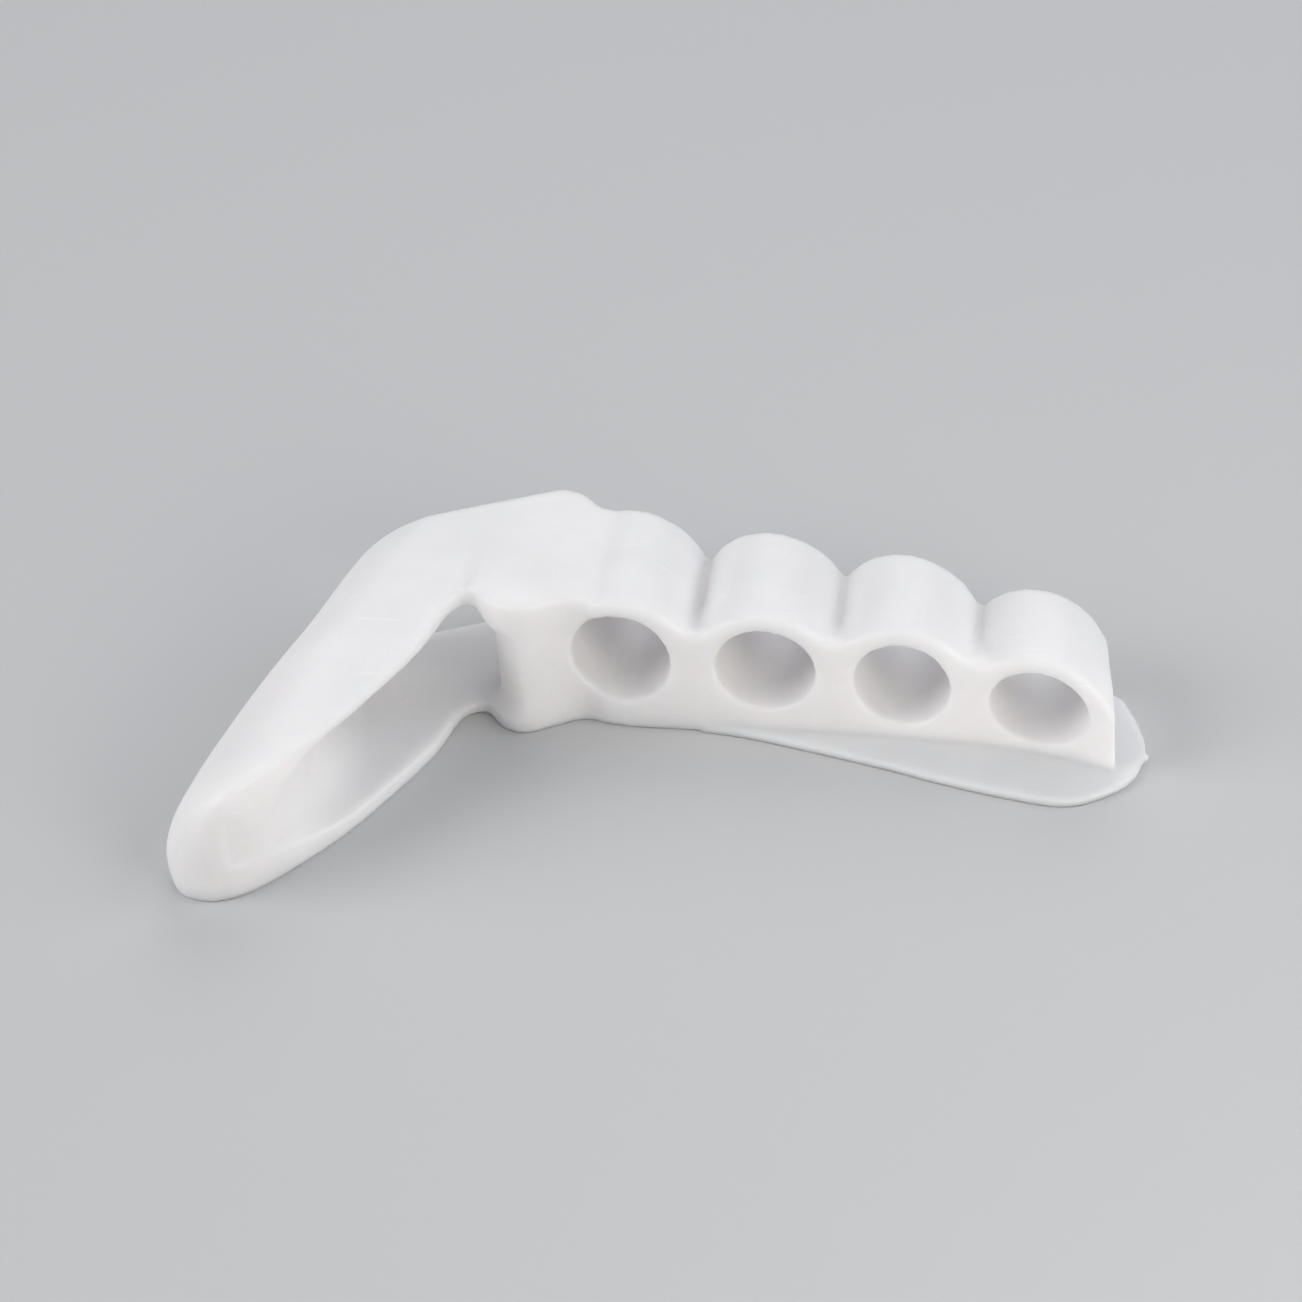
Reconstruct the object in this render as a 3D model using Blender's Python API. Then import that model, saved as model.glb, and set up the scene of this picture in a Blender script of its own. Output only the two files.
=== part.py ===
"""A moulded silicone toe separator with a bunion guard: one soft piece with five toe sleeves.

Four small sleeves stand side by side on a thin sole sheet. A wide big-toe sleeve joins them across a
thick spacer, and runs on towards the heel as a half-open guard that cups the side of the foot.
X runs across the toes from the big toe to the little toe, Y from the heel to the toe tips, Z up.
Lengths are in metres.
"""

import math

import bmesh
import bpy
from mathutils import Vector

# Small toe sleeves, with the second toe's sleeve as the largest
BORE_WIDTH = 0.0114
BORE_HEIGHT = 0.0113
BORE_FLOOR = 0.0042
WEB = 0.0050
CROWN_WALL = 0.0019
SIDE_WALL = 0.0034
SLEEVE_LENGTH = 0.0195
ARCH_SPREAD = 0.0007
MOUTH_SPREAD = 0.0020
GROOVE_ROUND = 0.0005
MOUTH_ROUND = 0.0050
MOUTH_DEPTH = 0.0110
BACK_LEAN = 0.0010
END_LEAN = 0.0010
FRONT_SWEEP = 0.0058
BACK_SWEEP = 0.0090

# Spacer between the big toe and the second toe
SPACER_WIDTH = 0.0104
SPACER_BULGE = 0.0020
SPACER_VALLEY = 0.0009
SPACER_WAIST = 0.0012
SPACER_ROUND = 0.0050

# Big-toe sleeve, which is also the distal end of the guard
RING_WIDTH = 0.0198
RING_HEIGHT = 0.0182
RING_SHOULDER = 0.0105
TIP_SHOULDER = 1.35
TIP_HOLLOW_SHOULDER = 0.45
RING_HAUNCH = 0.0055
RING_WAIST = 0.0060
RING_CORNER = 0.0042
RING_STEP = 0.0031
RING_BACK_SLOPE = math.radians(23.3)
SPACER_LEAN = math.radians(6.0)

# Bunion guard
GUARD_LENGTH = 0.0345
GUARD_SPREAD = math.radians(15.5)
GUARD_TIP_HEIGHT = 0.0135
GUARD_BULGE = 0.0010
GUARD_WALL = 0.0021
ROOF_WALL = 0.0015
FLOOR_WALL = 0.0015
HOLLOW_END = 0.975

# Sole sheet under the small toes, with the gate nub left by the mould
SHEET_THICKNESS = 0.0012
SHEET_REACH = 0.0115
SHEET_BACK = 0.0008
NUB_RADIUS = 0.0006
NUB_REACH = 0.0010
NUB_PLACE = 9
NUB_ALONG = 0.12

# How far a cutter passes the face that it cuts, and how far joined forms sink into each other
OVERCUT = 0.0040
OVERLAP = 0.0010

# Facets are split at this length's scale, since smaller caps lose their short edges
GRAIN = 0.001

# Grain of the fused surface
VOXEL = 0.0005
SOFTENING_PASSES = 5
TRIANGLES = 8600

# Each row is one small toe. Widths, heights, floors and webs are shares of the second toe's sizes;
# front and back are shares of the two sweeps, by which the row of toes falls back towards the heel.
TOES = (
    # name      width  height  floor   web  front   back
    ("second", 1.000, 1.000, 1.000, 0.00, 0.00, 0.00),
    ("third", 0.974, 0.930, 0.980, 1.07, 0.09, 0.29),
    ("fourth", 0.930, 0.920, 0.830, 0.95, 0.22, 0.57),
    ("little", 0.912, 0.780, 0.760, 0.98, 0.52, 0.95),
)

# The guard's open edge seen from above, from the spacer to the tip: how far in towards the foot's
# side as a share of the mouth's width there, and how far towards the heel as a share of GUARD_LENGTH.
GUARD_EDGE = (
    # across  along
    (0.905, -0.050),
    (0.840, 0.070),
    (0.776, 0.238),
    (0.670, 0.440),
    (0.575, 0.620),
    (0.454, 0.803),
    (0.333, 0.948),
    (0.213, 1.000),
    (0.095, 0.974),
    (-0.047, 0.838),
)

# Sections along the big-toe sleeve and guard, from the toe tip to past the guard's tip: place as a
# share of GUARD_LENGTH ahead of the spacer's face, how far the side stands out from its straight
# line as a share of GUARD_BULGE, height between ring (1) and guard tip (0), round haunch at the sole
# as a share of the ring's, then side wall, roof and floor as shares of theirs. The side wall grows
# into a solid tip, and the floor rises to it, so that the hollow ends as a shallow pocket.
TUNNEL = (
    # along  bulge  height  haunch  wall  roof  floor
    (0.95, 0.0, 1.00, 1.00, 1.00, 1.00, 1.00),
    (0.50, 0.6, 1.00, 1.00, 1.00, 1.00, 1.00),
    (0.30, 1.1, 1.00, 1.00, 1.00, 1.00, 1.00),
    (0.00, 0.8, 0.86, 1.00, 1.30, 1.50, 1.15),
    (-0.22, 0.7, 0.74, 1.00, 3.30, 1.20, 1.40),
    (-0.45, 0.6, 0.62, 0.95, 5.10, 1.00, 1.50),
    (-0.70, 0.5, 0.50, 0.75, 6.10, 0.90, 1.70),
    (-0.84, 0.2, 0.40, 0.50, 5.80, 0.85, 2.10),
    (-0.90, -0.3, 0.33, 0.38, 5.20, 0.80, 2.40),
    (-0.95, -1.4, 0.24, 0.30, 3.90, 0.80, 2.70),
    (-0.985, -3.3, 0.10, 0.25, 2.20, 0.80, 3.00),
    (-1.00, -5.6, -0.05, 0.25, 1.30, 0.80, 3.00),
    (-1.04, -9.0, -0.40, 0.25, 1.00, 0.80, 3.00),
)

# The sheet's free edge from the second toe round to the little toe's back, as shares of the row's
# width from the second toe's centre and of SHEET_REACH towards the heel.
SHEET_EDGE = (
    # across  along
    (0.157, 0.04),
    (0.274, 0.14),
    (0.532, 0.50),
    (0.651, 0.70),
    (0.781, 0.88),
    (0.909, 1.00),
    (0.988, 0.86),
    (1.036, 0.62),
    (1.057, 0.31),
    (1.062, -0.01),
    (1.030, -0.50),
    (0.992, -0.76),
)


def clear_scene():
    for scene_object in list(bpy.data.objects):
        bpy.data.objects.remove(scene_object)


def silicone():
    """Milky translucent silicone, cast in a satin mould."""
    material = bpy.data.materials.new("milky_silicone")
    material.use_nodes = True
    shader = material.node_tree.nodes["Principled BSDF"]
    shader.inputs["Base Color"].default_value = (0.80, 0.80, 0.81, 1.0)
    shader.inputs["Roughness"].default_value = 0.38
    shader.inputs["Metallic"].default_value = 0.0
    return material


def mesh_object(name, mesh_data, helper=True):
    """Closes up a bmesh as an object. A helper is a form that only joins, cuts or trims another."""
    bmesh.ops.remove_doubles(mesh_data, verts=mesh_data.verts, dist=1e-7)
    bmesh.ops.recalc_face_normals(mesh_data, faces=mesh_data.faces)
    bmesh.ops.scale(mesh_data, vec=Vector((1, 1, 1)) / GRAIN, verts=mesh_data.verts)
    bmesh.ops.triangulate(mesh_data, faces=mesh_data.faces)
    bmesh.ops.scale(mesh_data, vec=Vector((1, 1, 1)) * GRAIN, verts=mesh_data.verts)
    mesh = bpy.data.meshes.new(name)
    mesh_data.to_mesh(mesh)
    mesh_data.free()
    made = bpy.data.objects.new(name, mesh)
    bpy.context.scene.collection.objects.link(made)
    made.hide_render = helper
    if helper:
        made.display_type = "WIRE"
    return made


def smooth_line(points, steps=6):
    """Points along a Catmull-Rom curve through the given points, ends included."""
    ends = [2 * points[0] - points[1], *points, 2 * points[-1] - points[-2]]
    line = []
    for before, start, end, after in zip(ends, ends[1:], ends[2:], ends[3:]):
        for step in range(steps):
            t = step / steps
            line.append(
                0.5
                * (
                    2 * start
                    + (end - before) * t
                    + (2 * before - 5 * start + 4 * end - after) * t**2
                    + (3 * start - before - 3 * end + after) * t**3
                )
            )
    return [*line, points[-1]]


def prism(name, outline, low, high):
    """A flat outline in X and Y, pushed up from low to high."""
    shape = bmesh.new()
    face = shape.faces.new([shape.verts.new((p.x, p.y, low)) for p in outline])
    moved = bmesh.ops.extrude_face_region(shape, geom=[face])["geom"]
    raised = [v for v in moved if isinstance(v, bmesh.types.BMVert)]
    bmesh.ops.translate(shape, vec=(0, 0, high - low), verts=raised)
    return mesh_object(name, shape)


def loft(name, rings):
    """A closed skin through rings of equal length, with both ends capped."""
    shape = bmesh.new()
    rows = [[shape.verts.new(p) for p in ring] for ring in rings]
    for first, second in zip(rows, rows[1:]):
        for i in range(len(first)):
            j = (i + 1) % len(first)
            shape.faces.new((first[i], first[j], second[j], second[i]))
    for end in (rows[0], rows[-1]):
        shape.faces.new(end)
    return mesh_object(name, shape)


def combine(target, other, operation):
    modifier = target.modifiers.new(other.name, "BOOLEAN")
    modifier.object = other
    modifier.operation = operation
    modifier.solver = "EXACT"


def toe_rows():
    """Works out each small sleeve's bore, crown and ends, in the frame of the second toe's mouth."""
    rows = []
    centre = 0.0
    for index, (name, width, height, floor, web, front, back) in enumerate(TOES):
        half_width = BORE_WIDTH * width / 2
        if index:
            centre += rows[-1]["half_width"] + WEB * web + half_width
        half_height = BORE_HEIGHT * height / 2
        rise = BORE_FLOOR * floor + half_height
        rows.append(
            {
                "name": name,
                "x": centre,
                "z": rise,
                "half_width": half_width,
                "half_height": half_height,
                "crown": rise + half_height + CROWN_WALL,
                "front": -FRONT_SWEEP * front,
                "back": SLEEVE_LENGTH - BACK_SWEEP * back,
            }
        )
    return rows


def arch_height(toes, x, y, spread, lean, groove_round):
    """Height at x of the row of round backs, whose grooves are filled to a round bottom."""
    height = None
    for toe in toes:
        radius = toe["half_width"] + WEB / 2 + spread
        if toe is toes[-1] and x - lean > toe["x"]:
            radius = end_wall(toes, y) - lean - toe["x"]
        reach = min(1.0, abs(x - lean - toe["x"]) / radius)
        back = toe["crown"] - radius + radius * math.sqrt(1 - reach**2)
        if height is not None:
            fill = max(0.0, groove_round - abs(height - back)) ** 2 / (4 * groove_round)
            back = max(height, back) + fill
        height = back
    return height


def right_wall(toes):
    return toes[-1]["x"] + toes[-1]["half_width"] + SIDE_WALL


def end_wall(toes, y):
    """The outer face past the little toe, which leans in towards the back."""
    share = (y + FRONT_SWEEP) / (toes[-1]["back"] + FRONT_SWEEP)
    return right_wall(toes) - END_LEAN * max(0.0, min(1.0 + END_LEAN / WEB, share))


def ring_right():
    """Where the spacer's face looks into the big-toe sleeve, at the sleeve's mouth."""
    return -BORE_WIDTH / 2 - SPACER_WIDTH


def tunnel_left(y):
    """The guard's outer side, which spreads away from the foot towards the heel."""
    return ring_right() - RING_WIDTH - GUARD_WALL + y * math.tan(GUARD_SPREAD)


def tunnel_height(share):
    return GUARD_TIP_HEIGHT + (RING_HEIGHT - GUARD_TIP_HEIGHT) * share


def ring_back(x):
    """The slanting distal edge of the big-toe sleeve."""
    nearest = -BORE_WIDTH / 2 - SPACER_WIDTH * 0.36
    return SLEEVE_LENGTH + RING_STEP + (x - nearest) * math.tan(RING_BACK_SLOPE)


def toe_block(toes, stations=14, steps=96):
    """The four round backs and the roof over the spacer, with shallower grooves at the mouths."""
    start = ring_right() - OVERLAP
    crest = toes[0]["x"] - toes[0]["half_width"] / 2
    spacer_roof = toes[0]["x"] - BORE_WIDTH / 2 - SPACER_WIDTH / 2
    far = SLEEVE_LENGTH + RING_STEP + OVERCUT
    rings = []
    for y in [-GUARD_LENGTH] + [far - (far + FRONT_SWEEP) * k / stations for k in range(stations, -1, -1)]:
        mouth = max(0.0, min(1.0, 1 - (y + FRONT_SWEEP * 0.3) / MOUTH_DEPTH))
        mouth = mouth**2 * (3 - 2 * mouth)
        spread = ARCH_SPREAD + (MOUTH_SPREAD - ARCH_SPREAD) * mouth
        groove_round = GROOVE_ROUND + (MOUTH_ROUND - GROOVE_ROUND) * mouth
        lean = -BACK_LEAN * max(0.0, y / far)
        ring = [
            (start, y, 0),
            (start, y, RING_HEIGHT),
            (spacer_roof, y, RING_HEIGHT),
            ((spacer_roof + crest) / 2, y, (RING_HEIGHT + toes[0]["crown"]) / 2),
        ]
        for step in range(steps + 1):
            x = crest + (end_wall(toes, y) - crest) * step / steps
            ring.append((x, y, arch_height(toes, x, y, spread, lean, groove_round)))
        rings.append([*ring, (end_wall(toes, y), y, 0)])
    return loft("separator", rings)


def guard_edge():
    """The open edge of the guard seen from above."""
    points = []
    for across, along in GUARD_EDGE:
        y = -GUARD_LENGTH * along
        width = ring_right() - tunnel_left(y)
        points.append(Vector((tunnel_left(y) + width * across, y)))
    return points


def plan_outline(toes):
    """The whole moulding but for its sole sheet, seen from above."""
    end = right_wall(toes)
    spacer = -BORE_WIDTH / 2 - SPACER_WIDTH / 2
    front = smooth_line(
        [
            Vector((end, -FRONT_SWEEP)),
            *[Vector((toe["x"], toe["front"])) for toe in reversed(toes)],
            Vector((-BORE_WIDTH * 0.44, SPACER_VALLEY)),
            Vector((spacer, -SPACER_BULGE)),
            Vector((spacer - SPACER_WIDTH * 0.30, -SPACER_BULGE * 0.7)),
            Vector((ring_right(), SPACER_VALLEY * 0.9)),
            *guard_edge(),
        ]
    )
    far_left = tunnel_left(-GUARD_LENGTH) - OVERCUT
    outside = [
        Vector((far_left, front[-1].y)),
        Vector((far_left, ring_back(far_left))),
    ]
    peak = -BORE_WIDTH / 2 - SPACER_WIDTH * 0.36
    back = [
        Vector((peak, ring_back(peak))),
        Vector((peak + SPACER_WIDTH * 0.18, SLEEVE_LENGTH + RING_STEP * 0.85)),
        Vector((peak + SPACER_WIDTH * 0.32, SLEEVE_LENGTH + RING_STEP * 0.50)),
        Vector((peak + SPACER_WIDTH * 0.46, SLEEVE_LENGTH + RING_STEP * 0.08)),
    ]
    toe_backs = [Vector((toe["x"], toe["back"])) for toe in toes]
    toe_backs.append(Vector((end, toes[-1]["back"] - BACK_SWEEP * 0.25)))
    return [*front, *outside, *smooth_line(back, 4), *smooth_line(toe_backs)]


def section(left, right, height, floor, haunch_share, y, tip_shoulder, corner=0.0, steps=10):
    """One section of the tunnel: a round shoulder and haunch on the left, and corners on the right."""
    fall = 1 + (tip_shoulder - 1) * max(0.0, min(1.0, -2 * y / GUARD_LENGTH - 0.5))
    shoulder = min(
        RING_SHOULDER * fall * (height - floor) / RING_HEIGHT,
        RING_SHOULDER * (right - left) / (RING_WIDTH + GUARD_WALL),
    )
    haunch = RING_HAUNCH * haunch_share
    waist = floor + RING_WAIST * haunch_share * (height - floor) / RING_HEIGHT
    points = []
    for step in range(steps + 1):
        angle = math.pi / 2 * step / steps
        points.append(
            (left + haunch * (1 - math.sin(angle)), y, floor + (waist - floor) * (1 - math.cos(angle)))
        )
    for step in range(1, steps + 1):
        angle = math.pi / 2 * step / steps
        points.append(
            (left + shoulder * (1 - math.cos(angle)), y, waist + (height - waist) * math.sin(angle))
        )
    if not corner:
        return [*points, (right, y, height), (right, y, floor)]
    for radius, centre_z, turn in (
        (corner, height - corner, math.pi / 2),
        (corner * 0.8, floor + corner * 0.8, 0.0),
    ):
        for step in range(steps + 1):
            angle = turn - math.pi / 2 * step / steps
            points.append(
                (right - radius + radius * math.cos(angle), y, centre_z + radius * math.sin(angle))
            )
    return points


def tunnel_stations():
    """Places from the toe tip to past the guard's tip: Y, side, top, haunch share and wall shares."""
    for along, bulge, share, haunch, *walls in smooth_line([Vector(row) for row in TUNNEL], 6):
        y = GUARD_LENGTH * along
        yield y, tunnel_left(y) - GUARD_BULGE * bulge, tunnel_height(share), haunch, walls


def tunnel_skin():
    """The outside of the big-toe sleeve and guard."""
    return loft(
        "tunnel_skin",
        [
            section(left, ring_right() + OVERCUT, high, 0, haunch, y, TIP_SHOULDER)
            for y, left, high, haunch, _ in tunnel_stations()
        ],
    )


def spacer_face(y):
    """The spacer's side of the big-toe hollow, which turns into the spacer's front in a large round."""
    inside = y + SPACER_BULGE * 1.15
    if inside <= 0:
        return ring_right() + SPACER_WAIST + SPACER_ROUND + OVERCUT
    turn = max(0.0, 1 - inside / SPACER_ROUND)
    rounding = SPACER_ROUND * (1 - math.sqrt(1 - turn**2))
    return ring_right() + SPACER_WAIST + max(0.0, y) * math.tan(SPACER_LEAN) + rounding


def tunnel_hollow():
    """The hollow of the big-toe sleeve and guard, one wall inside the skin, ending as a pocket."""
    rings = []
    for y, left, high, haunch, (wall, roof, floor) in tunnel_stations():
        if y >= -GUARD_LENGTH * HOLLOW_END:
            left += GUARD_WALL * wall
            high -= ROOF_WALL * roof
            low = FLOOR_WALL * floor
            ring = (left, spacer_face(y), high, low, haunch, y, TIP_HOLLOW_SHOULDER, RING_CORNER)
            rings.append(section(*ring))
    return loft("tunnel_hollow", rings)


def bore(toe, segments=40):
    """A small toe's hollow, straight through its sleeve."""
    rings = []
    for y in (toe["front"] - OVERCUT, toe["back"] + OVERCUT):
        rings.append(
            [
                (
                    toe["x"] + toe["half_width"] * math.cos(2 * math.pi * i / segments),
                    y,
                    toe["z"] + toe["half_height"] * math.sin(2 * math.pi * i / segments),
                )
                for i in range(segments)
            ]
        )
    return loft(toe["name"] + "_bore", rings)


def sheet_point(toes, across, along):
    return Vector((right_wall(toes) * across, -SHEET_REACH * along))


def sole_sheet(toes):
    """The leaf-shaped sheet that the small sleeves stand on."""
    second, third, fourth, little = toes
    edge = [sheet_point(toes, *row) for row in SHEET_EDGE]
    back = [
        Vector((little["x"], little["back"] + SHEET_BACK)),
        Vector((fourth["x"], fourth["back"] + SHEET_BACK * 0.5)),
        Vector((third["x"], third["back"] - OVERLAP)),
    ]
    inside = Vector((second["x"] + second["half_width"], second["back"] / 2))
    return prism("sole_sheet", [*smooth_line([*edge, *back]), inside], 0, SHEET_THICKNESS)


def gate_nub(toes):
    """The small stub left at the sheet's little-toe end where the mould was filled."""
    root = sheet_point(toes, SHEET_EDGE[NUB_PLACE][0], NUB_ALONG)
    shape = bmesh.new()
    bmesh.ops.create_uvsphere(shape, u_segments=12, v_segments=8, radius=NUB_RADIUS)
    bmesh.ops.scale(shape, vec=((NUB_REACH + OVERLAP) / (2 * NUB_RADIUS), 1, 1), verts=shape.verts)
    place = (root.x + (NUB_REACH - OVERLAP) / 2, root.y, SHEET_THICKNESS / 2)
    bmesh.ops.translate(shape, vec=place, verts=shape.verts)
    return mesh_object("gate_nub", shape)


def floor_trim(toes):
    """Everything below the sole's level, so that the moulding stands on one true flat."""
    low = Vector((tunnel_left(-GUARD_LENGTH) - OVERCUT, -GUARD_LENGTH - OVERCUT))
    high = Vector((right_wall(toes) * 1.1 + OVERCUT, SLEEVE_LENGTH + RING_STEP + OVERCUT))
    outline = [low, Vector((high.x, low.y)), high, Vector((low.x, high.y))]
    return prism("floor_trim", outline, -OVERCUT, VOXEL / 4)


def fuse(body, toes):
    """Turns the joined forms into one soft skin, then keeps no more facets than it needs."""
    remesh = body.modifiers.new("fuse", "REMESH")
    remesh.mode = "VOXEL"
    remesh.voxel_size = VOXEL
    soften = body.modifiers.new("soften", "SMOOTH")
    soften.factor = 0.5
    soften.iterations = SOFTENING_PASSES
    combine(body, floor_trim(toes), "DIFFERENCE")


def evaluated_copy(source, name):
    """The finished solid as a plain mesh, centred over its footprint and standing on Z = 0."""
    graph = bpy.context.evaluated_depsgraph_get()
    mesh = bpy.data.meshes.new_from_object(source.evaluated_get(graph))
    mesh.name = name
    corners = [v.co for v in mesh.vertices]
    low = [min(c[i] for c in corners) for i in range(3)]
    high = [max(c[i] for c in corners) for i in range(3)]
    for vertex in mesh.vertices:
        vertex.co -= Vector(((low[0] + high[0]) / 2, (low[1] + high[1]) / 2, low[2]))
    return mesh


def build():
    clear_scene()
    toes = toe_rows()
    body = toe_block(toes)
    combine(body, tunnel_skin(), "UNION")
    combine(body, prism("plan_trim", plan_outline(toes), -OVERCUT, RING_HEIGHT + OVERCUT), "INTERSECT")
    combine(body, tunnel_hollow(), "DIFFERENCE")
    for toe in toes:
        combine(body, bore(toe), "DIFFERENCE")
    combine(body, sole_sheet(toes), "UNION")
    combine(body, gate_nub(toes), "UNION")
    fuse(body, toes)
    body.hide_render = True
    finished = bpy.data.objects.new("toe_separator", evaluated_copy(body, "toe_separator"))
    bpy.context.scene.collection.objects.link(finished)
    finished.data.materials.clear()
    finished.data.materials.append(silicone())
    finished.data.shade_smooth()
    thin = finished.modifiers.new("facets", "DECIMATE")
    thin.ratio = TRIANGLES / (2 * len(finished.data.polygons))


build()
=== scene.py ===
"""A moulded silicone toe separator with a bunion guard, lying on its sole under soft light."""

import math

import bmesh
import bpy
from mathutils import Matrix, Vector


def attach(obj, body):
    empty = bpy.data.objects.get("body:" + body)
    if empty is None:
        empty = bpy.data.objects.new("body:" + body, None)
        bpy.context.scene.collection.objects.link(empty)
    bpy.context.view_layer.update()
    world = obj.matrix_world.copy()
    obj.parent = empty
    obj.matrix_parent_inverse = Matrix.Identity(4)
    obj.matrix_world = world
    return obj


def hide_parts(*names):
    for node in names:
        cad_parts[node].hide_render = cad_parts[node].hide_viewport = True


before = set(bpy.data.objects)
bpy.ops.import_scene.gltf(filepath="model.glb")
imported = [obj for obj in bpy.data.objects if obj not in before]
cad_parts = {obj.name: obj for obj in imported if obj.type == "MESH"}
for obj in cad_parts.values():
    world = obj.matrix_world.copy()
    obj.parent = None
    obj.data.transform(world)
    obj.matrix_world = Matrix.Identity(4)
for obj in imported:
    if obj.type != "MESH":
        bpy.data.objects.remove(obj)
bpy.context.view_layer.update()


# Small toe sleeves
# Four open tubes side by side, in one moulding of soft silicone. They step down in height and
# length towards the little toe. Cores left them straight bores with slightly flared mouths, and the
# web between two sleeves is thick, so only a rounded groove shows from outside.
MM = 0.001  # the moulding's sizes are in millimetres
SECOND_TOE = Vector((-7.07, 6.00, -0.10))  # where the second toe's mouth meets the sole

BORE_WIDTH = 11.6
BORE_HEIGHT = 11.65
BORE_FLOOR = 3.95
WEB = 4.8
CROWN_WALL = 1.9
SIDE_WALL = 2.95
SLEEVE_LENGTH = 19.6
GROOVE_SPREAD = 0.6
MOUTH_GROOVE_SPREAD = 2.0
GROOVE_ROUND = 0.5
MOUTH_GROOVE_ROUND = 5.0
MOUTH_DEPTH = 5.0
BACK_LEAN = 1.0
END_LEAN = 2.0
END_LEAN_LIMIT = 1.2
FRONT_SWEEP = 5.8
BACK_SWEEP = 9.0

# Widths, heights, floors and webs are shares of the second toe's, and front and back of the sweeps
TOES = (
    # name      width  height  floor   web  front   back
    ("second", 1.000, 1.000, 1.000, 0.00, 0.00, 0.00),
    ("third", 0.996, 0.927, 0.988, 1.07, 0.09, 0.29),
    ("fourth", 0.952, 0.934, 0.785, 0.91, 0.22, 0.57),
    ("little", 0.981, 0.826, 0.625, 0.91, 0.52, 0.95),
)


toes = []
for _, width, height, floor, web, front, back in TOES:
    half_width = BORE_WIDTH * width / 2
    half_height = BORE_HEIGHT * height / 2
    centre = 0.0
    if toes:
        centre = toes[-1]["x"] + toes[-1]["half_width"] + WEB * web + half_width
    toes.append(
        {
            "x": centre,
            "z": BORE_FLOOR * floor + half_height,
            "half_width": half_width,
            "half_height": half_height,
            "crown": BORE_FLOOR * floor + 2 * half_height + CROWN_WALL,
            "front": -FRONT_SWEEP * front,
            "back": SLEEVE_LENGTH - BACK_SWEEP * back,
        }
    )
second, third, fourth, little = toes
row_end = little["x"] + little["half_width"] + SIDE_WALL


def end_wall(y):
    """The outer face past the little toe, which leans in towards the back."""
    share = (y + FRONT_SWEEP) / (little["back"] + FRONT_SWEEP)
    return row_end - END_LEAN * max(0.0, min(END_LEAN_LIMIT, share))


def arch_height(x, y, spread, lean, groove_round):
    """Height of the round backs at x. The backs spread, and the grooves between them fill."""
    height = None
    for toe in toes:
        radius = toe["half_width"] + WEB / 2 + spread
        if toe is toes[-1] and x - lean > toe["x"]:
            radius = end_wall(y) - lean - toe["x"]
        reach = min(1.0, abs(x - lean - toe["x"]) / radius)
        back = toe["crown"] - radius + radius * math.sqrt(1 - reach**2)
        if height is not None:
            fill = max(0.0, groove_round - abs(height - back)) ** 2 / (4 * groove_round)
            back = max(height, back) + fill
        height = back
    return height


def link(name, mesh):
    made = bpy.data.objects.new(name, mesh)
    bpy.context.scene.collection.objects.link(made)
    return made


def node(tree, kind, links=None, **settings):
    """Adds a node to a tree. Each entry of links sets an input or joins a socket to it."""
    made = tree.nodes.new(kind)
    for key, value in settings.items():
        setattr(made, key, value)
    for key, value in (links or {}).items():
        if isinstance(value, bpy.types.NodeSocket):
            tree.links.new(value, made.inputs[key])
        else:
            made.inputs[key].default_value = value
    return made


def geometry_tree(name, inputs):
    """A geometry node group with named inputs, as (name, socket type, default) rows."""
    tree = bpy.data.node_groups.new(name, "GeometryNodeTree")
    tree.interface.new_socket("Geometry", in_out="INPUT", socket_type="NodeSocketGeometry")
    for label, kind, default in inputs:
        socket = tree.interface.new_socket(label, in_out="INPUT", socket_type=kind)
        if default is not None:
            socket.default_value = default
    tree.interface.new_socket("Geometry", in_out="OUTPUT", socket_type="NodeSocketGeometry")
    return tree, tree.nodes.new("NodeGroupInput").outputs


def grow(source, tree, values, name):
    """Runs a geometry node group on an object and returns its result as a plain mesh object."""
    modifier = source.modifiers.new(tree.name, "NODES")
    modifier.node_group = tree
    for socket in tree.interface.items_tree:
        if socket.in_out == "INPUT" and socket.name in values:
            modifier[socket.identifier] = values[socket.name]
    source.update_tag()
    graph = bpy.context.evaluated_depsgraph_get()
    graph.update()
    mesh = bpy.data.meshes.new_from_object(source.evaluated_get(graph))
    source.modifiers.remove(modifier)
    bpy.data.objects.remove(source)
    return link(name, mesh)


# One point for each sleeve, with that bore's sizes, from which the tree below grows the four cores
OVERCUT = 4.0  # how far a form that cuts or trims runs past the moulding
bore_points = bpy.data.meshes.new("bore_points")
starts = [Vector((toe["x"], toe["front"] - OVERCUT, toe["z"])) for toe in toes]
bore_points.from_pydata([(p + SECOND_TOE) * MM for p in starts], [], [])
sizes = bore_points.attributes.new("bore_size", "FLOAT_VECTOR", "POINT")
for index, toe in enumerate(toes):
    length = toe["back"] - toe["front"] + 2 * OVERCUT
    sizes.data[index].vector = Vector((toe["half_width"], length, toe["half_height"])) * MM

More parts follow.
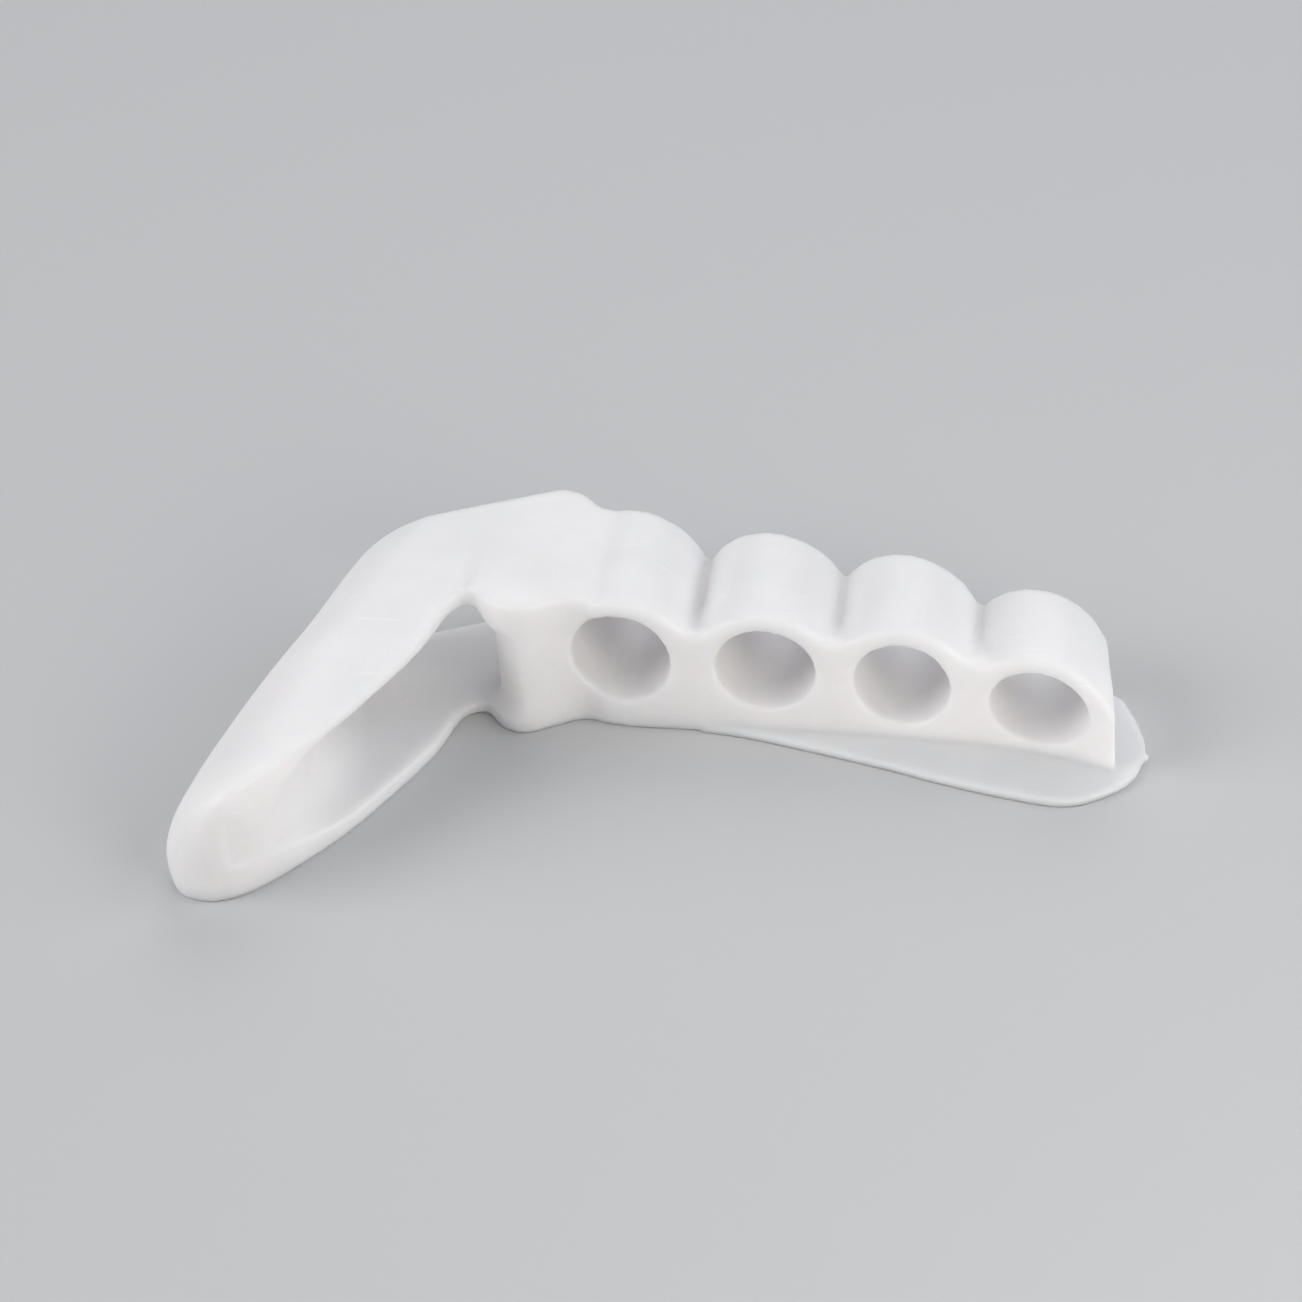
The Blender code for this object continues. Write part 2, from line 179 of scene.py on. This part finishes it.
bore_tree, given = geometry_tree(
    "toe_bores",
    (
        ("Mouth Flare", "NodeSocketFloat", 0.05),
        ("Flare Depth", "NodeSocketFloat", 0.30),
        ("Sides", "NodeSocketInt", 96),
        ("Rings", "NodeSocketInt", 41),
        ("Material", "NodeSocketMaterial", None),
    ),
)
axis = {"Start": (0, 0, 0), "End": (0, 1, 0)}
axis = node(bore_tree, "GeometryNodeCurvePrimitiveLine", axis)
axis = {"Curve": axis.outputs[0], "Count": given["Rings"]}
axis = node(bore_tree, "GeometryNodeResampleCurve", axis)
along = node(bore_tree, "GeometryNodeSplineParameter").outputs["Factor"]
flare = node(
    bore_tree,
    "ShaderNodeMapRange",
    {
        "Value": along,
        "From Min": 0.0,
        "From Max": given["Flare Depth"],
        "To Min": given["Mouth Flare"],
        "To Max": 0.0,
    },
    interpolation_type="SMOOTHSTEP",
).outputs["Result"]
radius = node(bore_tree, "ShaderNodeMath", {0: flare, 1: 1.0}, operation="ADD").outputs[0]
axis = {"Curve": axis.outputs[0], "Radius": radius}
axis = node(bore_tree, "GeometryNodeSetCurveRadius", axis)
ring = {"Resolution": given["Sides"], "Radius": 1.0}
ring = node(bore_tree, "GeometryNodeCurvePrimitiveCircle", ring)
core = node(
    bore_tree,
    "GeometryNodeCurveToMesh",
    {"Curve": axis.outputs[0], "Profile Curve": ring.outputs[0], "Fill Caps": True},
)
bore_size = node(
    bore_tree,
    "GeometryNodeInputNamedAttribute",
    {"Name": "bore_size"},
    data_type="FLOAT_VECTOR",
)
cores = node(
    bore_tree,
    "GeometryNodeInstanceOnPoints",
    {"Points": given["Geometry"], "Instance": core.outputs[0], "Scale": bore_size.outputs[0]},
)
cores = node(bore_tree, "GeometryNodeRealizeInstances", {"Geometry": cores.outputs[0]})
cores = {"Geometry": cores.outputs[0], "Material": given["Material"]}
cores = node(bore_tree, "GeometryNodeSetMaterial", cores)
node(bore_tree, "NodeGroupOutput", {"Geometry": cores.outputs[0]})
bores = grow(link("bore_points", bore_points), bore_tree, {"Mouth Flare": 0.06}, "toe_bores")


# Spacer, big-toe sleeve and bunion guard
# A thick spacer keeps the big toe off the second. The wide sleeve beside it runs on towards the
# heel as a half-open guard that cups the side of the big-toe joint. Its wall thickens into a solid
# tip, and a shallow pocket inside it gives the joint room.
SPACER_WIDTH = 10.3
SPACER_BULGE = 2.0
SPACER_VALLEY = 0.9
SPACER_LEAN = math.radians(6.0)
SPACER_ROUND = 5.0
SPACER_WAIST = 1.2
SPACER_PEAK = 0.36  # its highest back corner, as a share of its width from the second toe
FACE_START = 1.15  # where its face begins, as a share of its bulge
VALLEY_PLACE = 0.44  # the valley beside the second bore, as a share of the bore's width
SHOULDER_PLACE = 0.30  # the bulge's shoulder, as a share of the spacer's width from its middle
SHOULDER_OUT = 0.7  # how far that shoulder stands out, as a share of the bulge
ARCH_FOOT = 1.1  # where the guard's arch springs from the spacer, as a share of the valley
RING_WIDTH = 19.8
RING_HEIGHT = 18.25
RING_SHOULDER = 10.5
TIP_SHOULDER = 1.35
TIP_HOLLOW_SHOULDER = 0.45
RING_HAUNCH = 5.5
RING_WAIST = 6.0
RING_CORNER = 3.3
SOLE_CORNER = 0.9  # the lower corner's share of the upper one
RING_STEP = 3.1
RING_BACK_SLOPE = math.radians(23.3)
GUARD_LENGTH = 34.6
GUARD_SPREAD = math.radians(15.5)
GUARD_TIP_HEIGHT = 13.5
GUARD_BULGE = 1.0
FALL_START = 0.25  # its shoulder changes to the tip's between these shares of its length
FALL_END = 0.75
GUARD_WALL = 2.1
ROOF_WALL = 1.5
FLOOR_WALL = 1.5

# The guard's open edge from above: shares of the mouth's width there, and of the guard's length
GUARD_EDGE = (
    # across  along
    (0.965, -0.044),
    (0.925, -0.040),
    (0.885, -0.026),
    (0.857, 0.000),
    (0.836, 0.045),
    (0.816, 0.125),
    (0.776, 0.238),
    (0.670, 0.440),
    (0.575, 0.620),
    (0.454, 0.803),
    (0.333, 0.948),
    (0.213, 1.000),
    (0.095, 0.974),
    (-0.047, 0.838),
)

# Sections from the toe tip to past the guard's tip: place as a share of the guard's length, how
# far the side stands out as a share of its bulge, height between ring (1) and tip (0), round haunch
# as a share of the ring's, then side wall, roof and floor as shares of theirs. The side wall grows
# into a solid tip, and the floor rises to it.
TUNNEL = (
    # along  bulge  height  haunch  wall  roof  floor
    (0.95, 0.0, 1.00, 1.00, 1.00, 1.00, 1.00),
    (0.50, 0.6, 1.00, 1.00, 1.00, 1.00, 1.00),
    (0.30, 0.8, 1.00, 1.00, 1.00, 1.00, 1.00),
    (0.00, 0.4, 0.86, 1.00, 1.30, 1.50, 1.15),
    (-0.22, 0.5, 0.74, 1.00, 3.30, 1.20, 1.40),
    (-0.45, 0.6, 0.62, 0.95, 5.10, 1.00, 1.50),
    (-0.70, 0.5, 0.50, 0.75, 6.10, 0.90, 1.70),
    (-0.84, 0.2, 0.40, 0.50, 5.80, 0.85, 2.10),
    (-0.90, -0.3, 0.33, 0.38, 5.20, 0.80, 2.40),
    (-0.95, -1.4, 0.24, 0.30, 3.90, 0.80, 2.70),
    (-0.985, -3.3, 0.10, 0.25, 2.20, 0.80, 3.00),
    (-1.00, -5.6, -0.05, 0.25, 1.30, 0.80, 3.00),
    (-1.04, -9.0, -0.40, 0.25, 1.00, 0.80, 3.00),
)
HOLLOW_END = 0.975

spacer_face_x = -BORE_WIDTH / 2 - SPACER_WIDTH
spacer_middle = -BORE_WIDTH / 2 - SPACER_WIDTH / 2
peak_x = -BORE_WIDTH / 2 - SPACER_WIDTH * SPACER_PEAK


def solid(name, shape):
    """Closes up a form drawn in millimetres from the second toe's mouth, and sets it in place."""
    bmesh.ops.remove_doubles(shape, verts=shape.verts, dist=1e-4)
    bmesh.ops.recalc_face_normals(shape, faces=shape.faces)
    bmesh.ops.triangulate(shape, faces=shape.faces)
    bmesh.ops.translate(shape, vec=SECOND_TOE, verts=shape.verts)
    bmesh.ops.scale(shape, vec=(MM, MM, MM), verts=shape.verts)
    mesh = bpy.data.meshes.new(name)
    shape.to_mesh(mesh)
    shape.free()
    return link(name, mesh)


def smooth_line(points, steps=12):
    """Points along a Catmull-Rom curve through the given points, ends included."""
    ends = [2 * points[0] - points[1], *points, 2 * points[-1] - points[-2]]
    line = []
    for before, start, end, after in zip(ends, ends[1:], ends[2:], ends[3:]):
        for step in range(steps):
            t = step / steps
            line.append(
                0.5
                * (
                    2 * start
                    + (end - before) * t
                    + (2 * before - 5 * start + 4 * end - after) * t**2
                    + (3 * start - before - 3 * end + after) * t**3
                )
            )
    return [*line, points[-1]]


def loft(name, rings):
    """A closed skin through rings of equal length, with both ends capped."""
    shape = bmesh.new()
    rows = [[shape.verts.new(p) for p in ring] for ring in rings]
    for first, second in zip(rows, rows[1:]):
        for i in range(len(first)):
            j = (i + 1) % len(first)
            shape.faces.new((first[i], first[j], second[j], second[i]))
    for end in (rows[0], rows[-1]):
        shape.faces.new(end)
    return solid(name, shape)


def prism(name, outline, low, high):
    """A flat outline in X and Y, pushed up from low to high."""
    return loft(name, [[(p.x, p.y, z) for p in outline] for z in (low, high)])


def guard_side(y):
    """The straight line that the guard's outer side bulges from."""
    return spacer_face_x - RING_WIDTH - GUARD_WALL + y * math.tan(GUARD_SPREAD)


def ring_back(x):
    """The slanting toe-tip edge of the big-toe sleeve."""
    return SLEEVE_LENGTH + RING_STEP + (x - peak_x) * math.tan(RING_BACK_SLOPE)


def section(left, right, height, floor, haunch_share, y, tip_shoulder, corner=0.0, steps=24):
    """One section of the tunnel: a round shoulder and haunch on the left, corners on the right."""
    share = (-y / GUARD_LENGTH - FALL_START) / (FALL_END - FALL_START)
    fall = 1 + (tip_shoulder - 1) * max(0.0, min(1.0, share))
    shoulder = min(
        RING_SHOULDER * fall * (height - floor) / RING_HEIGHT,
        (right - left) * RING_SHOULDER / (RING_WIDTH + GUARD_WALL),
    )
    haunch = RING_HAUNCH * haunch_share
    waist = floor + RING_WAIST * haunch_share * (height - floor) / RING_HEIGHT
    points = []
    for step in range(steps + 1):
        angle = math.pi / 2 * step / steps
        x = left + haunch * (1 - math.sin(angle))
        points.append((x, y, floor + (waist - floor) * (1 - math.cos(angle))))
    for step in range(1, steps + 1):
        angle = math.pi / 2 * step / steps
        x = left + shoulder * (1 - math.cos(angle))
        points.append((x, y, waist + (height - waist) * math.sin(angle)))
    if not corner:
        return [*points, (right, y, height), (right, y, floor)]
    for radius, centre_z, turn in (
        (corner, height - corner, math.pi / 2),
        (corner * SOLE_CORNER, floor + corner * SOLE_CORNER, 0.0),
    ):
        for step in range(steps + 1):
            angle = turn - math.pi / 2 * step / steps
            x = right - radius + radius * math.cos(angle)
            points.append((x, y, centre_z + radius * math.sin(angle)))
    return points


def tunnel_stations():
    """Rows from the toe tip to past the guard's tip: Y, side, top, haunch share, wall shares."""
    for along, bulge, share, haunch, *walls in smooth_line([Vector(row) for row in TUNNEL], 16):
        y = GUARD_LENGTH * along
        height = GUARD_TIP_HEIGHT + (RING_HEIGHT - GUARD_TIP_HEIGHT) * share
        yield y, guard_side(y) - GUARD_BULGE * bulge, height, haunch, walls


def spacer_face(y):
    """The spacer's side of the big-toe hollow, which is rounded away at its mouth."""
    inside = y + SPACER_BULGE * FACE_START
    if inside <= 0:
        return spacer_face_x + SPACER_WAIST + SPACER_ROUND + OVERCUT
    turn = max(0.0, 1 - inside / SPACER_ROUND)
    rounding = SPACER_ROUND * (1 - math.sqrt(1 - turn**2))
    return spacer_face_x + SPACER_WAIST + max(0.0, y) * math.tan(SPACER_LEAN) + rounding


def tunnel_hollow():
    """The hollow of the big-toe sleeve and guard, one wall inside its skin."""
    rings = []
    for y, left, high, haunch, (wall, roof, floor) in tunnel_stations():
        if y >= -GUARD_LENGTH * HOLLOW_END:
            low = FLOOR_WALL * floor
            high -= ROOF_WALL * roof
            left += GUARD_WALL * wall
            sizes = (left, spacer_face(y), high, low, haunch, y)
            rings.append(section(*sizes, TIP_HOLLOW_SHOULDER, RING_CORNER))
    return loft("tunnel_hollow", rings)


def combine(target, other, operation):
    """Joins, cuts or trims a solid with another one, which is then removed."""
    modifier = target.modifiers.new(operation, "BOOLEAN")
    modifier.object = other
    modifier.operation = operation
    modifier.solver = "MANIFOLD"
    settle(target)
    bpy.data.objects.remove(other)


def settle(target):
    """Applies the modifiers of an object to its mesh."""
    graph = bpy.context.evaluated_depsgraph_get()
    graph.update()
    mesh = bpy.data.meshes.new_from_object(target.evaluated_get(graph))
    target.modifiers.clear()
    target.data = mesh


def fuse(target, grain, passes):
    """Turns joined forms into one skin of even grain, with its edges softened by some passes."""
    remesh = target.modifiers.new("fuse", "REMESH")
    remesh.mode = "VOXEL"
    remesh.voxel_size = grain * MM
    soften = target.modifiers.new("soften", "SMOOTH")
    soften.factor = 0.5
    soften.iterations = passes
    settle(target)


# The outside of the row and its spacer, with shallower grooves at the mouths than at the backs
ROW_RINGS = 30
ARCH_STEPS = 240
SKIN_OVERLAP = 1.0
MOUTH_START = 0.3  # where the mouths' shape starts to fade, as a share of the front's sweep
MOUTH_FADE = 2.2  # how long it fades, as a share of the mouths' depth
block_start = spacer_face_x - SKIN_OVERLAP
crest = -second["half_width"] / 2
rings = []
row_back = SLEEVE_LENGTH + RING_STEP + OVERCUT
for step in range(ROW_RINGS + 1):
    y = -FRONT_SWEEP + (row_back + FRONT_SWEEP) * step / ROW_RINGS
    if step == 0:
        y = -GUARD_LENGTH
    mouth = 1 - (y + FRONT_SWEEP * MOUTH_START) / (MOUTH_DEPTH * MOUTH_FADE)
    mouth = max(0.0, min(1.0, mouth))
    mouth = mouth**2 * (3 - 2 * mouth)
    spread = GROOVE_SPREAD + (MOUTH_GROOVE_SPREAD - GROOVE_SPREAD) * mouth
    groove_round = GROOVE_ROUND + (MOUTH_GROOVE_ROUND - GROOVE_ROUND) * mouth
    lean = -BACK_LEAN * max(0.0, y / row_back)
    ring = [
        (block_start, y, 0),
        (block_start, y, RING_HEIGHT),
        (spacer_middle, y, RING_HEIGHT),
        ((spacer_middle + crest) / 2, y, (RING_HEIGHT + second["crown"]) / 2),
    ]
    for place in range(ARCH_STEPS + 1):
        x = crest + (end_wall(y) - crest) * place / ARCH_STEPS
        ring.append((x, y, arch_height(x, y, spread, lean, groove_round)))
    rings.append([*ring, (end_wall(y), y, 0)])
moulding = loft("moulding", rings)

skin = [
    section(left, spacer_face_x + OVERCUT, high, 0, haunch, y, TIP_SHOULDER)
    for y, left, high, haunch, _ in tunnel_stations()
]
combine(moulding, loft("tunnel_skin", skin), "UNION")

# Everything but the sole sheet, seen from above. The step from the spacer's peak down to the second
# toe's back has rows of shares of the spacer's width and of the ring's step.
SPACER_BACK = (
    # across  out
    (0.18, 0.85),
    (0.32, 0.50),
    (0.46, 0.08),
)
CORNER_SWEEP = 0.25  # the little toe's outer back corner, as a share of the backs' sweep
front = smooth_line(
    [
        Vector((row_end, -FRONT_SWEEP)),
        *[Vector((toe["x"], toe["front"])) for toe in reversed(toes)],
        Vector((-BORE_WIDTH * VALLEY_PLACE, SPACER_VALLEY)),
        Vector((spacer_middle, -SPACER_BULGE)),
        Vector((spacer_middle - SPACER_WIDTH * SHOULDER_PLACE, -SPACER_BULGE * SHOULDER_OUT)),
        Vector((spacer_face_x, SPACER_VALLEY * ARCH_FOOT)),
        *[
            Vector((guard_side(y) + (spacer_face_x - guard_side(y)) * across, y))
            for across, y in ((across, -GUARD_LENGTH * along) for across, along in GUARD_EDGE)
        ],
    ]
)
far_left = guard_side(-GUARD_LENGTH) - OVERCUT
back = smooth_line(
    [
        Vector((peak_x, ring_back(peak_x))),
        *[
            Vector((peak_x + SPACER_WIDTH * across, SLEEVE_LENGTH + RING_STEP * out))
            for across, out in SPACER_BACK
        ],
    ]
)
toe_backs = [Vector((toe["x"], toe["back"])) for toe in toes]
last_corner = Vector((row_end, little["back"] - BACK_SWEEP * CORNER_SWEEP))
toe_backs = smooth_line([*toe_backs, last_corner])
outside = [Vector((far_left, front[-1].y)), Vector((far_left, ring_back(far_left)))]
outline = [*front, *outside, *back, *toe_backs]
combine(moulding, prism("plan_trim", outline, -OVERCUT, RING_HEIGHT + OVERCUT), "INTERSECT")
fuse(moulding, grain=0.40, passes=6)

# The edge between the backs and the mouths is rounder than the rest
ROUND_BAND = 3.0
ROUND_FADE = 1.6  # how far the band reaches, as a share of its own width
ROUND_START = 2.0  # how far from the spacer's face it starts
ROUND_PASSES = 10
band = moulding.vertex_groups.new(name="front_edge")
for vertex in moulding.data.vertices:
    x, y, z = vertex.co / MM - SECOND_TOE
    share = (FRONT_SWEEP * max(0.0, x / row_end) + y) / ROUND_BAND
    if x > spacer_face_x + ROUND_START and z > BORE_FLOOR * 2:
        band.add([vertex.index], max(0.0, min(1.0, ROUND_FADE - share)), "REPLACE")
soften = moulding.modifiers.new("round_edge", "SMOOTH")
soften.factor = 0.5
soften.iterations = ROUND_PASSES
soften.vertex_group = band.name
settle(moulding)
moulding.vertex_groups.clear()

# The cores that leave the hollows
combine(moulding, tunnel_hollow(), "DIFFERENCE")
combine(moulding, bores, "DIFFERENCE")
fuse(moulding, grain=0.29, passes=2)


# Sole sheet
# A leaf-shaped sheet that lies under the small toes and reaches out past the little toe. It was
# moulded with the sleeves, and the mould was filled at a gate on its edge, which left a small nub.
SHEET_THICKNESS = 1.2
SHEET_REACH = 11.5
SHEET_BACK = 0.8
SHEET_INSET = 1.0
NUB_RADIUS = 0.55
NUB_REACH = 0.8
NUB_ROOT = 1.0
NUB_ACROSS = 1.051  # its place on the free edge, as the shares below
NUB_ALONG = 0.20

# The free edge from the second toe round to the little toe's back: shares of the row's width from
# the second toe's centre, and of the sheet's reach towards the heel
SHEET_EDGE = (
    # across  along
    (0.156, 0.04),
    (0.272, 0.14),
    (0.528, 0.50),
    (0.646, 0.70),
    (0.775, 0.88),
    (0.900, 0.99),
    (0.976, 0.84),
    (1.028, 0.60),
    (1.049, 0.31),
    (1.052, -0.01),
    (1.018, -0.50),
    (0.980, -0.76),
)

edge = [Vector((row_end * across, -SHEET_REACH * along)) for across, along in SHEET_EDGE]
edge += [
    Vector((little["x"], little["back"] + SHEET_BACK)),
    Vector((fourth["x"], fourth["back"] + SHEET_BACK * 0.5)),
    Vector((third["x"], third["back"] - SHEET_INSET)),
]
inside = Vector((second["half_width"], second["back"] / 2))
sheet = prism("sole_sheet", [*smooth_line(edge), inside], 0, SHEET_THICKNESS)

shape = bmesh.new()
bmesh.ops.create_uvsphere(shape, u_segments=24, v_segments=16, radius=NUB_RADIUS)
stretch = (NUB_REACH + NUB_ROOT) / (2 * NUB_RADIUS)
bmesh.ops.scale(shape, vec=(stretch, 1, 1), verts=shape.verts)
nub_middle = row_end * NUB_ACROSS + (NUB_REACH - NUB_ROOT) / 2
place = (nub_middle, -SHEET_REACH * NUB_ALONG, SHEET_THICKNESS / 2)
bmesh.ops.translate(shape, vec=place, verts=shape.verts)
combine(sheet, solid("gate_nub", shape), "UNION")
fuse(sheet, grain=0.26, passes=2)
combine(moulding, sheet, "UNION")

# One more light pass softens the crease where the sheet meets the sleeves
fuse(moulding, grain=0.28, passes=1)


# Milky silicone
# Platinum-cured silicone rubber, cast in one piece. It is unpigmented but cloudy, so light soaks
# into it and its thin rims glow, while the satin mould leaves it a soft, broken gloss.
def linear(code):
    """A hex sRGB colour as linear red, green, blue and alpha."""
    values = [int(code[i : i + 2], 16) / 255 for i in (1, 3, 5)]
    return (*[v / 12.92 if v <= 0.04045 else ((v + 0.055) / 1.055) ** 2.4 for v in values], 1.0)


silicone = bpy.data.materials.new("milky_silicone")
silicone.use_nodes = True
tree = silicone.node_tree
tree.nodes.clear()
place = node(tree, "ShaderNodeTexCoord").outputs["Object"]

# Satin of the blasted mould: gloss broken up every 2 mm or so
satin = {"Vector": place, "Scale": 480.0, "Detail": 4.0}
satin = node(tree, "ShaderNodeTexNoise", satin).outputs["Fac"]
rough = {"Value": satin, "To Min": 0.34, "To Max": 0.46}
rough = node(tree, "ShaderNodeMapRange", rough).outputs["Result"]

# Flow marks: faint drawn-out ripples a millimetre wide and 9 mm long where the rubber ran in from
# the gate, here and there a longer whiter streak, and the mould's own grain of 0.4 mm under them
def drawn_noise(turn, stretch, scale, detail):
    """Noise that is drawn out along one direction of the sole's plane."""
    space = {"Vector": place, "Rotation": (0, 0, math.radians(turn)), "Scale": (stretch, 1, 1)}
    space = node(tree, "ShaderNodeMapping", space).outputs[0]
    made = {"Vector": space, "Scale": scale, "Detail": detail, "Distortion": 0.6}
    return node(tree, "ShaderNodeTexNoise", made).outputs["Fac"]


ripples = drawn_noise(12, 0.12, 900.0, 3.0)
streaks = drawn_noise(-14, 0.06, 1300.0, 2.0)
streaks = {"Value": streaks, "From Min": 0.66, "From Max": 0.76, "To Max": 0.35}
streaks = node(tree, "ShaderNodeMapRange", streaks).outputs["Result"]
grain = {"Vector": place, "Scale": 2600.0, "Detail": 2.0}
grain = node(tree, "ShaderNodeTexNoise", grain).outputs["Fac"]
relief = {0: ripples, 1: 0.6, 2: grain}
relief = node(tree, "ShaderNodeMath", relief, operation="MULTIPLY_ADD").outputs[0]
bump = node(tree, "ShaderNodeBump", {"Height": relief, "Strength": 0.30, "Distance": 0.0001})

# Cloudiness of the cured rubber, some 9 mm across, and the whiter streaks
cloud = {"Vector": place, "Scale": 110.0, "Detail": 3.0}
cloud = node(tree, "ShaderNodeTexNoise", cloud).outputs["Fac"]
body = {0: cloud, 6: linear("#EAE9EA"), 7: linear("#FAF8F8")}
body = node(tree, "ShaderNodeMix", body, data_type="RGBA").outputs[2]
tint = {0: streaks, 6: body, 7: linear("#FFFFFF")}
tint = node(tree, "ShaderNodeMix", tint, data_type="RGBA").outputs[2]

shader = node(
    tree,
    "ShaderNodeBsdfPrincipled",
    {
        "Base Color": tint,
        "Roughness": rough,
        "Normal": bump.outputs[0],
        "IOR": 1.41,
        "Subsurface Weight": 1.0,
        "Subsurface Radius": (1.0, 0.92, 0.86),
        "Subsurface Scale": 0.0035,
    },
)
node(tree, "ShaderNodeOutputMaterial", {"Surface": shader.outputs[0]})

# The last skin: a moulded surface is never quite even, so it swells and dips by hundredths of a
# millimetre
SURFACE_TRIANGLES = 190000
surface_tree, given = geometry_tree(
    "moulded_surface",
    (
        ("Unevenness", "NodeSocketFloat", 0.00008),
        ("Patch Scale", "NodeSocketFloat", 160.0),
        ("Material", "NodeSocketMaterial", None),
    ),
)
normal = node(surface_tree, "GeometryNodeInputNormal").outputs[0]
patches = {"Scale": given["Patch Scale"], "Detail": 2.0}
patches = node(surface_tree, "ShaderNodeTexNoise", patches).outputs[0]
swell = {0: patches, 1: 0.5}
swell = node(surface_tree, "ShaderNodeMath", swell, operation="SUBTRACT").outputs[0]
swell = {0: swell, 1: given["Unevenness"]}
swell = node(surface_tree, "ShaderNodeMath", swell, operation="MULTIPLY").outputs[0]
offset = {0: normal, "Scale": swell}
offset = node(surface_tree, "ShaderNodeVectorMath", offset, operation="SCALE").outputs[0]
skin = {"Geometry": given["Geometry"], "Offset": offset}
skin = node(surface_tree, "GeometryNodeSetPosition", skin)
skin = node(surface_tree, "GeometryNodeRealizeInstances", {"Geometry": skin.outputs[0]})
skin = {"Geometry": skin.outputs[0], "Material": given["Material"]}
skin = node(surface_tree, "GeometryNodeSetMaterial", skin)
node(surface_tree, "NodeGroupOutput", {"Geometry": skin.outputs[0]})

thin = moulding.modifiers.new("facets", "DECIMATE")
thin.ratio = min(1.0, SURFACE_TRIANGLES / (2 * len(moulding.data.polygons)))
settle(moulding)
separator = grow(moulding, surface_tree, {"Material": silicone}, "silicone_toe_separator")
for vertex in separator.data.vertices:
    vertex.co.z = max(vertex.co.z, 0.0)
separator.data.shade_smooth()
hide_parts("toe_separator")
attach(separator, "root")


# Table, light and camera
# A plain pale table top under large soft lamps, and a camera at the height and turn of the photo.
table_paint = bpy.data.materials.new("matt_table_paint")
table_paint.use_nodes = True
paint = table_paint.node_tree.nodes["Principled BSDF"]
paint.inputs["Base Color"].default_value = linear("#CBCCCD")
paint.inputs["Roughness"].default_value = 0.6
bpy.ops.mesh.primitive_plane_add(size=6.0, location=(0, 0, 0))
table = bpy.context.object
table.name = "table_top"
table.data.materials.append(table_paint)

world = bpy.data.worlds.new("soft_room")
bpy.context.scene.world = world
world.use_nodes = True
sky = world.node_tree.nodes["Background"]
sky.inputs["Color"].default_value = linear("#F2F7FF")
sky.inputs["Strength"].default_value = 0.282

for name, place, size, power, colour in (
    ("back_softbox", (0.00, 0.60, 0.55), 0.60, 1.62, "#FFFBFB"),
    ("left_softbox", (-0.60, -0.20, 0.40), 0.50, 2.85, "#FFFEFC"),
    ("right_softbox", (0.60, 0.05, 0.45), 0.50, 1.65, "#F0F7FF"),
    ("near_reflector", (0.26, -0.24, 0.13), 0.20, 0.56, "#FFF7EC"),
):
    lamp = bpy.data.objects.new(name, bpy.data.lights.new(name, "AREA"))
    lamp.data.size = size
    lamp.data.energy = power
    lamp.data.color = linear(colour)[:3]
    lamp.location = place
    lamp.rotation_euler = (-Vector(place)).to_track_quat("-Z", "Y").to_euler()
    bpy.context.scene.collection.objects.link(lamp)

CAMERA_TURN = math.radians(12.0)
CAMERA_HEIGHT = math.radians(36.0)
CAMERA_ROLL = math.radians(5.0)
CAMERA_DISTANCE = 0.4286
CAMERA_AIM = Vector((-0.00657, 0.02120, -0.00012))
FOCAL_SHARE = 3600 / 1302  # the focal length over the frame's width, both in pixels
heading = Vector((-math.sin(CAMERA_TURN), math.cos(CAMERA_TURN), 0))
right = Vector((math.cos(CAMERA_TURN), math.sin(CAMERA_TURN), 0))
forward = heading * math.cos(CAMERA_HEIGHT) - Vector((0, 0, math.sin(CAMERA_HEIGHT)))
up = heading * math.sin(CAMERA_HEIGHT) + Vector((0, 0, math.cos(CAMERA_HEIGHT)))
camera = bpy.data.objects.new("camera", bpy.data.cameras.new("camera"))
bpy.context.scene.collection.objects.link(camera)
camera.matrix_world = (
    Matrix.Translation(CAMERA_AIM - forward * CAMERA_DISTANCE)
    @ Matrix((right, up, -forward)).transposed().to_4x4()
    @ Matrix.Rotation(-CAMERA_ROLL, 4, "Z")
)
camera.data.angle = 2 * math.atan(0.5 / FOCAL_SHARE)
camera.data.clip_start = 0.01
bpy.context.scene.camera = camera
bpy.context.scene.view_settings.view_transform = "Standard"
